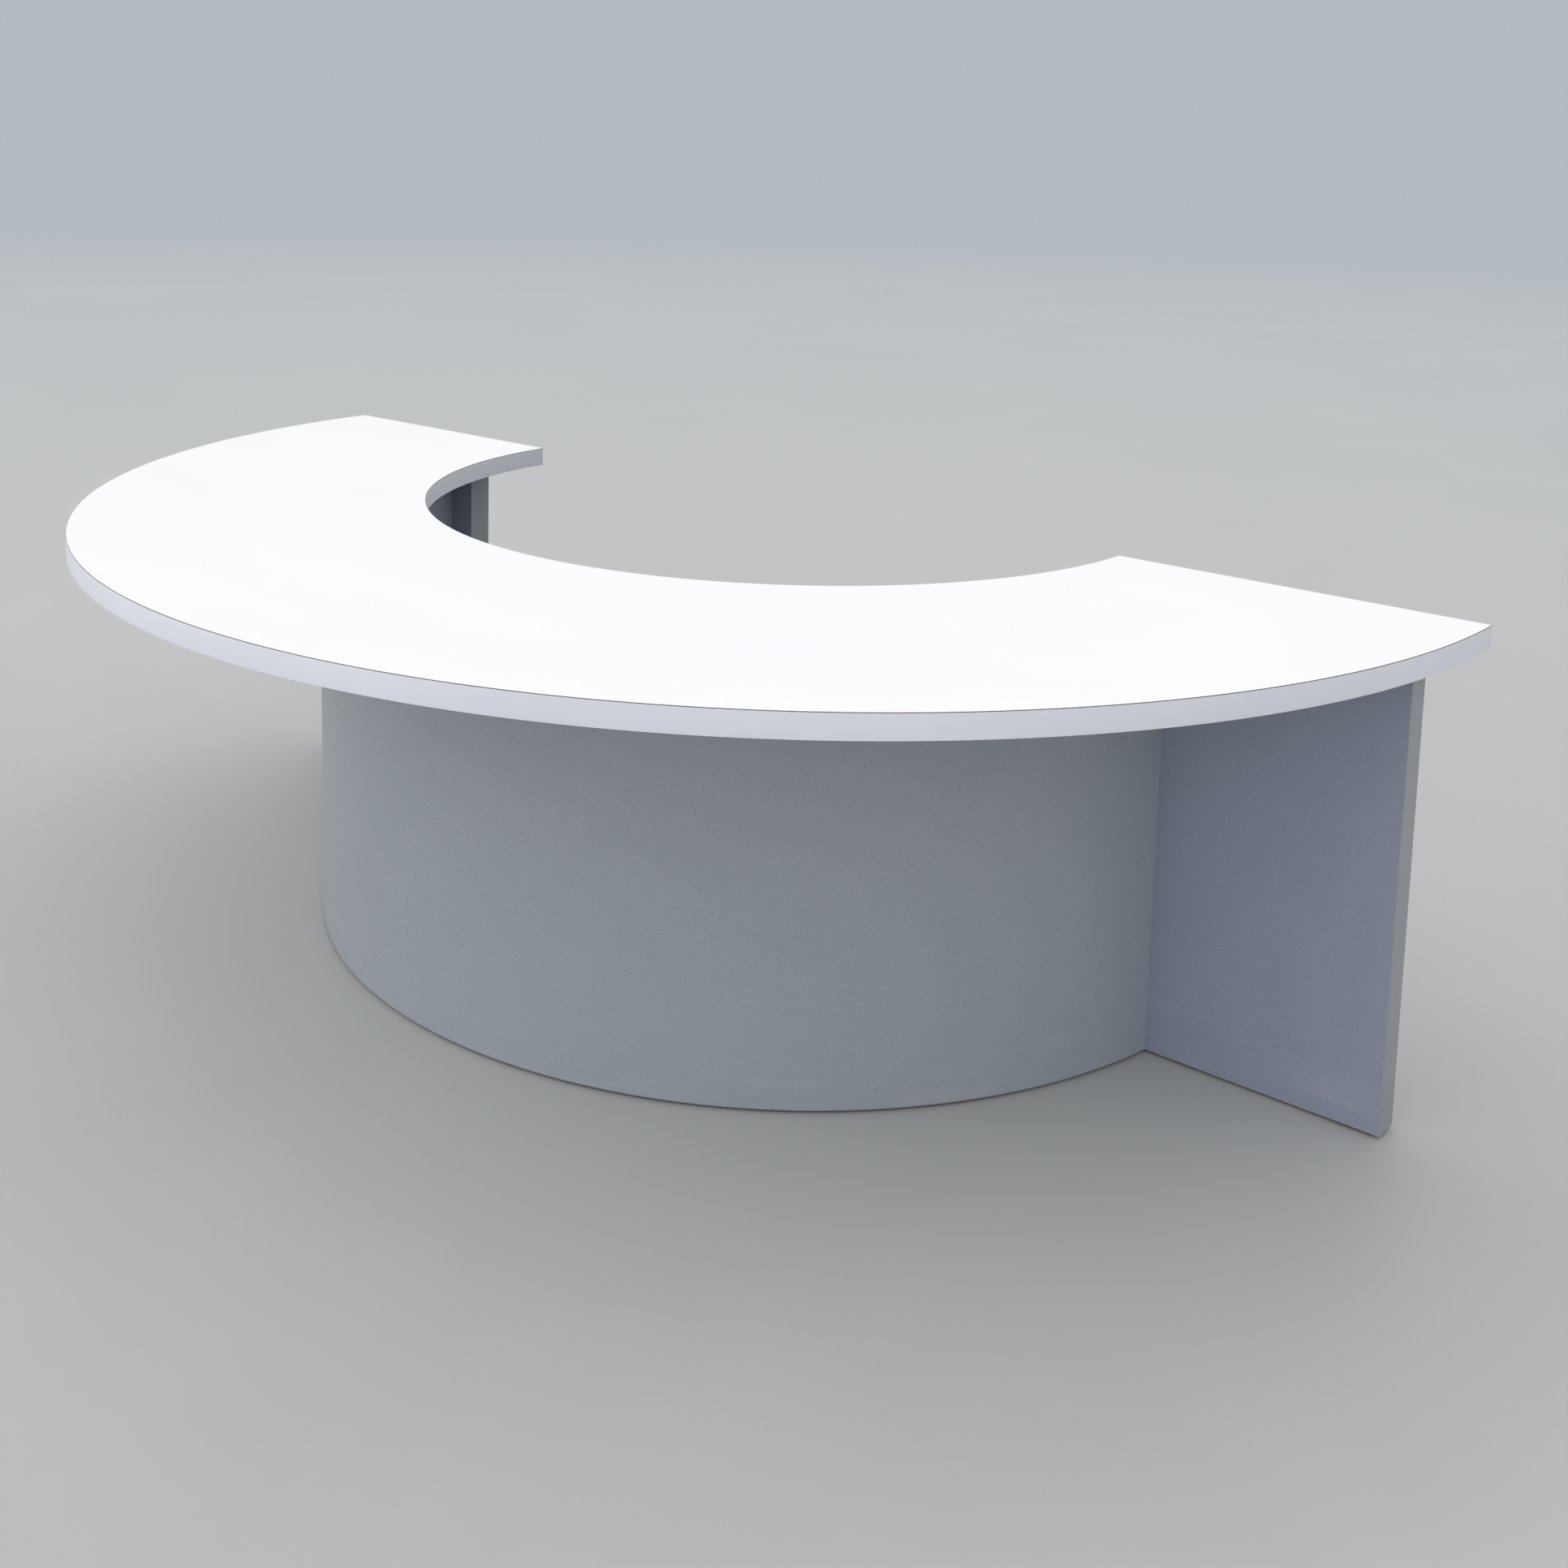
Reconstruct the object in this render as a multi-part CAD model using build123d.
from build123d import *
import math
import os

# A half-ring checkout counter. The staff stand in the half-circle opening, the
# customers come to the curved front. +X is the customer's right along the straight
# back line, -Y the customers' side, +Z up. The origin is on the floor, at the middle
# of the box round the counter. All sizes are in millimetres.

# Overall sizes
TOP_RADIUS = 1220.0  # outer radius of the worktop, half a 2440 mm board
WELL_RADIUS = 650.0  # radius of the opening for the staff
HEIGHT = 710.0  # floor to the worktop's surface
FLOOR_GAP = 5.0  # shadow gap under the panels, filled only by the feet

# Sheets and edgings
LAMINATE = 1.0
EDGING = 2.0
TOP_BOARD = 16.0  # two of these are glued together in the worktop
END_BOARD = 22.0  # two of these are glued together in each end panel
SKIN = 8.0  # bending plywood, on both sides of the curved panel
ARRIS = 1.0  # rounding of the edgings' outer corners
LAMINATE_BEVEL = 0.4

# Curved front panel, in radii from the worktop's centre
PANEL_RADIUS = 826.0
RAIL_DEPTH = 36.0
RAIL_HEIGHT = 18.0
BOTTOM_RAIL_HEIGHT = 36.0
POST_LENGTH = 60.0
STUD_WIDTH = 45.0
STUD_STEP = 27.0  # degrees between studs
STUD_ANGLES = [-90 + STUD_STEP * k for k in range(-2, 3)]

# End panels
END_SET_BACK = 146.0  # from the worktop's straight back to the panels' front face
END_INNER_X = 700.0
END_OUTER_X = 1170.0

# Hardware
FOOT_ANGLES = [-148.0, -110.0, -70.0, -32.0]
FOOT_END_X = [745.0, 1120.0]
PAD_RADIUS = 16.0
PAD_GRIPS = 8
GRIP_RADIUS = 2.0
STEM_RADIUS = 3.95
STEM_LENGTH = 32.5
STEM_HEAD_RADIUS = 7.0
STEM_HEAD = 2.0
STEM_LIFT = 1.5  # pad material under the stem's head
INSERT_BORE = 4.0
INSERT_RADIUS = 6.0
INSERT_LENGTH = 24.0
FLANGE_RADIUS = 9.0
BOLT_RADIUS = 3.0
BOLT_HOLE_RADIUS = 3.25
BOLT_HEAD_RADIUS = 8.5
BOLT_HEAD = 2.0
BOLT_REACH = 40.0  # how far a bolt runs into the curved panel
BOLT_X = 779.0
BOLT_HEIGHTS = [120.0, 340.0, 560.0]
NUT_RADIUS = 5.0
NUT_LENGTH = 14.0
NUT_DEPTH = 30.0
BRACKET_LEG = 40.0
BRACKET_WIDTH = 40.0
BRACKET_STEEL = 2.5
BRACKET_HOLE_RADIUS = 2.1
SCREW_RADIUS = 1.75
SCREW_LENGTH = 16.0
SCREW_HEAD_RADIUS = 3.5
SCREW_HEAD = 2.2
SCREW_SPACING = 20.0
SCREW_FROM_CORNER = 30.0
END_BRACKET_X = [740.0, 1080.0]

# Worked-out values
CENTRE_Y = TOP_RADIUS / 2
UNDERSIDE = HEIGHT - 2 * LAMINATE - 2 * TOP_BOARD
BASE = FLOOR_GAP + EDGING
END_FRONT = -END_SET_BACK
END_THICKNESS = 2 * LAMINATE + 2 * END_BOARD
END_MIDDLE = END_FRONT + END_THICKNESS / 2
END_BACK = END_FRONT + END_THICKNESS
SKIN_OUTER = PANEL_RADIUS - LAMINATE
RAIL_OUTER = SKIN_OUTER - SKIN
RAIL_INNER = RAIL_OUTER - RAIL_DEPTH
SKIN_INNER = RAIL_INNER - SKIN
PANEL_INNER = SKIN_INNER - LAMINATE
RAIL_MIDDLE = (RAIL_OUTER + RAIL_INNER) / 2
TOP_RAIL_LOW = UNDERSIDE - RAIL_HEIGHT
BOTTOM_RAIL_HIGH = BASE + BOTTOM_RAIL_HEIGHT
MIDDLE_RAIL_LOW = (BOTTOM_RAIL_HIGH + TOP_RAIL_LOW) / 2 - RAIL_HEIGHT / 2
MIDDLE_RAIL_HIGH = MIDDLE_RAIL_LOW + RAIL_HEIGHT
POST_FRONT = END_FRONT - POST_LENGTH
BRACKET_RADIUS = math.sqrt(PANEL_INNER**2 - (BRACKET_WIDTH / 2) ** 2)

os.makedirs("parts", exist_ok=True)


def save(shape, node):
    export_step(shape, "parts/" + node + ".step")


def cut_all(shape, tools):
    for tool in tools:
        shape = shape - tool
    return shape


def save_group(shapes, node):
    save(Compound(children=[shape.solid() for shape in shapes]), node)


# Plans are drawn about the worktop's centre and raised into place.
def half_ring(outer, inner, back=0.0):
    front = Pos(0, back - outer) * Rectangle(2 * outer, 2 * outer)
    return (Circle(outer) - Circle(inner)) & front


def raised(plan, low, high):
    return extrude(Pos(0, CENTRE_Y, low) * plan, amount=high - low)


def block(x_low, x_high, y_low, y_high, z_low, z_high):
    plan = Pos((x_low + x_high) / 2, (y_low + y_high) / 2) * Rectangle(x_high - x_low, y_high - y_low)
    return raised(plan, z_low, z_high)


def on_ring(radius, angle, z):
    turn = math.radians(angle)
    return Pos(radius * math.cos(turn), CENTRE_Y + radius * math.sin(turn), z)


def edges_at(shape, z):
    return shape.edges().filter_by(lambda edge: abs(edge.bounding_box().min.Z - z) < 0.01
                                   and abs(edge.bounding_box().max.Z - z) < 0.01)


# Where the hardware goes
def foot_places():
    on_panel = [on_ring(RAIL_MIDDLE, angle, 0) for angle in FOOT_ANGLES]
    left = [Pos(-x, CENTRE_Y + END_MIDDLE, 0) for x in reversed(FOOT_END_X)]
    right = [Pos(x, CENTRE_Y + END_MIDDLE, 0) for x in FOOT_END_X]
    return left + on_panel + right


def bolt_places():
    return [
        Pos(side * BOLT_X, CENTRE_Y + END_BACK, z) * Rot(90, 0, 0)
        for side in (-1, 1)
        for z in BOLT_HEIGHTS
    ]


# A bracket's own frame: the corner is the origin, the upright leg's back lies on
# the plane x = 0, and the level leg's top lies on z = 0 and runs towards -x.
def front_bracket_places():
    return [on_ring(BRACKET_RADIUS, angle, UNDERSIDE) * Rot(0, 0, angle) for angle in STUD_ANGLES]


def end_bracket_places():
    return [
        Pos(side * x, CENTRE_Y + END_BACK, UNDERSIDE) * Rot(0, 0, -90)
        for side in (-1, 1)
        for x in END_BRACKET_X
    ]


def screw_places():
    sideways = [-SCREW_SPACING / 2, SCREW_SPACING / 2]
    up = [Pos(-SCREW_FROM_CORNER, y, -BRACKET_STEEL) for y in sideways]
    across = [Pos(-BRACKET_STEEL, y, -SCREW_FROM_CORNER) * Rot(0, 90, 0) for y in sideways]
    return [
        bracket * place
        for bracket in front_bracket_places() + end_bracket_places()
        for place in up + across
    ]


# Hardware shapes
def screw():
    """A pan-head wood screw that starts at z = 0 and points up."""
    shank = Pos(0, 0, SCREW_LENGTH / 2 - 1) * Cylinder(SCREW_RADIUS, SCREW_LENGTH - 2)
    tip = Pos(0, 0, SCREW_LENGTH - 1) * Cone(SCREW_RADIUS, SCREW_RADIUS / 4, 2)
    head = Pos(0, 0, -SCREW_HEAD / 2) * Cylinder(SCREW_HEAD_RADIUS, SCREW_HEAD)
    head = fillet(edges_at(head, -SCREW_HEAD), SCREW_HEAD / 2)
    slot = Pos(0, 0, -SCREW_HEAD) * Box(SCREW_HEAD_RADIUS, 0.9, 2)
    return head + shank + tip - slot - Rot(0, 0, 90) * slot


def screw_hole():
    shank = Pos(0, 0, SCREW_LENGTH / 2 - 1) * Cylinder(SCREW_RADIUS, SCREW_LENGTH - 2)
    tip = Pos(0, 0, SCREW_LENGTH - 1) * Cone(SCREW_RADIUS, SCREW_RADIUS / 4, 2)
    return shank + tip


def bracket():
    half = BRACKET_LEG / 2
    upright = Pos(-BRACKET_STEEL / 2, 0, -half) * Box(BRACKET_STEEL, BRACKET_WIDTH, BRACKET_LEG)
    level = Pos(-half, 0, -BRACKET_STEEL / 2) * Box(BRACKET_LEG, BRACKET_WIDTH, BRACKET_STEEL)
    shape = upright + level
    corners = shape.edges().filter_by(
        lambda edge: edge.length < BRACKET_STEEL + 0.01
        and (edge.center().X < -BRACKET_LEG + 1 or edge.center().Z < -BRACKET_LEG + 1)
    )
    shape = fillet(corners, 6)
    hole = Cylinder(BRACKET_HOLE_RADIUS, 4 * BRACKET_STEEL)
    for y in (-SCREW_SPACING / 2, SCREW_SPACING / 2):
        shape -= Pos(-SCREW_FROM_CORNER, y, 0) * hole
        shape -= Pos(0, y, -SCREW_FROM_CORNER) * Rot(0, 90, 0) * hole
    return shape


def connector_bolt():
    """A flat-head furniture bolt: the head's back at z = 0, the shank along +z."""
    length = END_THICKNESS + BOLT_REACH
    shank = Pos(0, 0, length / 2) * Cylinder(BOLT_RADIUS, length)
    head = Pos(0, 0, -BOLT_HEAD / 2) * Cylinder(BOLT_HEAD_RADIUS, BOLT_HEAD)
    head = fillet(edges_at(head, -BOLT_HEAD), BOLT_HEAD / 2)
    socket = Pos(0, 0, -BOLT_HEAD) * extrude(RegularPolygon(2.3, 6), amount=3)
    return head + shank - socket


def barrel_nut():
    body = Rot(0, 90, 0) * Cylinder(NUT_RADIUS, NUT_LENGTH)
    return body - Rot(90, 0, 0) * Cylinder(BOLT_RADIUS, 2 * NUT_LENGTH)


def insert():
    """A threaded insert, its flange flush with the panel's underside."""
    body = Pos(0, 0, FLOOR_GAP + INSERT_LENGTH / 2) * Cylinder(INSERT_RADIUS, INSERT_LENGTH)
    flange = Pos(0, 0, FLOOR_GAP + EDGING / 2) * Cylinder(FLANGE_RADIUS, EDGING)
    bore = Pos(0, 0, FLOOR_GAP + INSERT_LENGTH / 2) * Cylinder(INSERT_BORE, INSERT_LENGTH + 1)
    return body + flange - bore


def insert_hole():
    """Room for the insert and for the stem that stands above it."""
    body = Pos(0, 0, FLOOR_GAP + INSERT_LENGTH / 2) * Cylinder(INSERT_RADIUS, INSERT_LENGTH)
    flange = Pos(0, 0, FLOOR_GAP + EDGING / 2) * Cylinder(FLANGE_RADIUS, EDGING)
    stem_room = Pos(0, 0, BASE + 15) * Cylinder(INSERT_BORE + 0.5, 30)
    return body + flange + stem_room


def stem():
    top = Pos(0, 0, STEM_LIFT + STEM_LENGTH / 2) * Cylinder(STEM_RADIUS, STEM_LENGTH)
    top = chamfer(edges_at(top, STEM_LIFT + STEM_LENGTH), 0.8)
    return top + Pos(0, 0, STEM_LIFT + STEM_HEAD / 2) * Cylinder(STEM_HEAD_RADIUS, STEM_HEAD)


def pad():
    shape = Pos(0, 0, FLOOR_GAP / 2) * Cylinder(PAD_RADIUS, FLOOR_GAP)
    shape = fillet(shape.edges().filter_by(GeomType.CIRCLE), 0.8)
    for k in range(PAD_GRIPS):
        grip = Pos(PAD_RADIUS + 1, 0, FLOOR_GAP / 2) * Cylinder(GRIP_RADIUS, FLOOR_GAP)
        shape -= Rot(0, 0, 360 / PAD_GRIPS * k) * grip
    return shape - stem()


# Worktop: two glued boards, laminate above and below, edging all round
def make_worktop():
    board = half_ring(TOP_RADIUS - EDGING, WELL_RADIUS + EDGING, back=-EDGING)
    holes = [place * screw_hole() for place in screw_places()]
    joint = UNDERSIDE + LAMINATE + TOP_BOARD

    backing = cut_all(raised(board, UNDERSIDE, UNDERSIDE + LAMINATE), holes)
    lower = cut_all(raised(board, UNDERSIDE + LAMINATE, joint), holes)
    left_half = block(-TOP_RADIUS, 0, -TOP_RADIUS, 0, UNDERSIDE, HEIGHT)
    save(backing, "worktop_backing_laminate")
    save(lower & left_half, "worktop_lower_board_left")
    save(lower - left_half, "worktop_lower_board_right")
    save(raised(board, joint, joint + TOP_BOARD), "worktop_upper_board")

    surface = raised(half_ring(TOP_RADIUS, WELL_RADIUS), HEIGHT - LAMINATE, HEIGHT)
    save(chamfer(edges_at(surface, HEIGHT), LAMINATE_BEVEL), "worktop_laminate")


def make_worktop_edging():
    low = UNDERSIDE
    high = HEIGHT - LAMINATE
    outer = raised(half_ring(TOP_RADIUS, TOP_RADIUS - EDGING), low, high)
    longest = edges_at(outer, low).sort_by(Edge.length)[-1]
    save(fillet(longest, ARRIS), "worktop_outer_edging")

    inner = raised(half_ring(WELL_RADIUS + EDGING, WELL_RADIUS), low, high)
    arcs = edges_at(inner, low).filter_by(GeomType.CIRCLE).sort_by(Edge.length)
    save(fillet(arcs[0], ARRIS), "worktop_inner_edging")

    strip = block(WELL_RADIUS + EDGING, TOP_RADIUS - EDGING, -EDGING, 0, low, high)
    strip = strip & raised(half_ring(TOP_RADIUS - EDGING, WELL_RADIUS + EDGING), low, high)
    strip = fillet(edges_at(strip, low).sort_by(Axis.Y)[-1], ARRIS)
    save(strip, "worktop_right_end_edging")
    save(mirror(strip, about=Plane.YZ), "worktop_left_end_edging")


# Curved front panel: a plywood frame between two bent skins, laminated both sides
def make_front_panel_skins():
    screws = [place * screw_hole() for place in screw_places()]

    def sheet(outer, inner):
        return raised(half_ring(outer, inner, back=END_FRONT), BASE, UNDERSIDE)

    save(sheet(PANEL_RADIUS, SKIN_OUTER), "front_panel_face_laminate")
    save(sheet(SKIN_OUTER, RAIL_OUTER), "front_panel_outer_skin")
    save(cut_all(sheet(RAIL_INNER, SKIN_INNER), screws), "front_panel_inner_skin")
    save(cut_all(sheet(SKIN_INNER, PANEL_INNER), screws), "front_panel_inner_laminate")

    base = raised(half_ring(PANEL_RADIUS, PANEL_INNER, back=END_FRONT), FLOOR_GAP, BASE)
    arcs = edges_at(base, FLOOR_GAP).filter_by(GeomType.CIRCLE)
    base = cut_all(chamfer(arcs, ARRIS / 2), [place * insert_hole() for place in foot_places()])
    save(base, "front_panel_base_edging")


def make_front_panel_frame():
    rail = half_ring(RAIL_OUTER, RAIL_INNER, back=END_FRONT)
    inserts = [place * insert_hole() for place in foot_places()]
    save(cut_all(raised(rail, BASE, BOTTOM_RAIL_HIGH), inserts), "front_panel_bottom_rail")
    save(raised(rail, TOP_RAIL_LOW, UNDERSIDE), "front_panel_top_rail")
    middle = half_ring(RAIL_OUTER, RAIL_INNER, back=POST_FRONT)
    save(raised(middle, MIDDLE_RAIL_LOW, MIDDLE_RAIL_HIGH), "front_panel_middle_rail")

    post = raised(rail, BOTTOM_RAIL_HIGH, TOP_RAIL_LOW)
    post = post & block(0, PANEL_RADIUS, POST_FRONT, END_FRONT, BOTTOM_RAIL_HIGH, TOP_RAIL_LOW)
    bolt_hole = Pos(0, 0, (END_THICKNESS + BOLT_REACH) / 2) * Cylinder(
        BOLT_HOLE_RADIUS, END_THICKNESS + BOLT_REACH + 2
    )
    nut_hole = Rot(0, 90, 0) * Cylinder(NUT_RADIUS, 2 * NUT_LENGTH)
    for z in BOLT_HEIGHTS:
        post -= Pos(BOLT_X, CENTRE_Y + END_BACK, z) * Rot(90, 0, 0) * bolt_hole
        post -= Pos(BOLT_X - NUT_LENGTH / 2, CENTRE_Y + END_FRONT - NUT_DEPTH, z) * nut_hole
    save(post, "front_panel_right_post")
    save(mirror(post, about=Plane.YZ), "front_panel_left_post")


def make_front_panel_studs():
    screws = [place * screw_hole() for place in screw_places()]
    ring = Circle(RAIL_OUTER) - Circle(RAIL_INNER)
    plans = [
        ring & (Rot(0, 0, angle) * Pos(RAIL_MIDDLE, 0) * Rectangle(2 * RAIL_DEPTH, STUD_WIDTH))
        for angle in STUD_ANGLES
    ]
    lower = [raised(plan, BOTTOM_RAIL_HIGH, MIDDLE_RAIL_LOW) for plan in plans]
    upper = [cut_all(raised(plan, MIDDLE_RAIL_HIGH, TOP_RAIL_LOW), screws) for plan in plans]
    save_group(lower, "front_panel_lower_studs")
    save_group(upper, "front_panel_upper_studs")


# End panels: two glued boards, laminated both sides, edged on the ends and below
def make_end_panels():
    inner = END_INNER_X + EDGING
    outer = END_OUTER_X - EDGING
    bolts = [
        place * Pos(0, 0, END_THICKNESS / 2) * Cylinder(BOLT_HOLE_RADIUS, END_THICKNESS + 2)
        for place in bolt_places()
    ]
    inserts = [place * insert_hole() for place in foot_places()]
    screws = [place * screw_hole() for place in screw_places()]
    layers = [
        ("front_laminate", END_FRONT, LAMINATE, bolts),
        ("front_board", END_FRONT + LAMINATE, END_BOARD, bolts + inserts),
        ("back_board", END_MIDDLE, END_BOARD, bolts + inserts + screws),
        ("back_laminate", END_BACK - LAMINATE, LAMINATE, bolts + screws),
    ]
    pieces = {
        name: cut_all(block(inner, outer, y, y + thickness, BASE, UNDERSIDE), tools)
        for name, y, thickness, tools in layers
    }

    def edging(x_low, x_high, face_x):
        strip = block(x_low, x_high, END_FRONT, END_BACK, FLOOR_GAP, UNDERSIDE)
        face = strip.faces().filter_by(Axis.X).sort_by(lambda f: abs(f.center().X - face_x))[0]
        return fillet([e for e in face.edges() if e.center().Z < UNDERSIDE - 1], ARRIS)

    pieces["inner_edging"] = edging(END_INNER_X, inner, END_INNER_X)
    pieces["outer_edging"] = edging(outer, END_OUTER_X, END_OUTER_X)
    base = block(inner, outer, END_FRONT, END_BACK, FLOOR_GAP, BASE)
    long_edges = edges_at(base, FLOOR_GAP).filter_by(Axis.X)
    pieces["base_edging"] = cut_all(fillet(long_edges, ARRIS), inserts)
    for name, shape in pieces.items():
        save(shape, "right_end_" + name)
        save(mirror(shape, about=Plane.YZ), "left_end_" + name)


def make_hardware():
    save_group([place * insert() for place in foot_places()], "levelling_inserts")
    for number, place in enumerate(foot_places(), start=1):
        save(place * pad(), f"foot_{number}_pad")
        save(place * stem(), f"foot_{number}_stem")
    save_group([place * connector_bolt() for place in bolt_places()], "connector_bolts")
    nut_y = CENTRE_Y + END_FRONT - NUT_DEPTH
    nuts = [Pos(side * BOLT_X, nut_y, z) * barrel_nut() for side in (-1, 1) for z in BOLT_HEIGHTS]
    save_group(nuts, "barrel_nuts")
    save_group([place * bracket() for place in front_bracket_places()], "front_panel_brackets")
    save_group([place * bracket() for place in end_bracket_places()], "end_panel_brackets")
    save_group([place * screw() for place in screw_places()], "bracket_screws")


make_worktop()
make_worktop_edging()
make_front_panel_skins()
make_front_panel_frame()
make_front_panel_studs()
make_end_panels()
make_hardware()
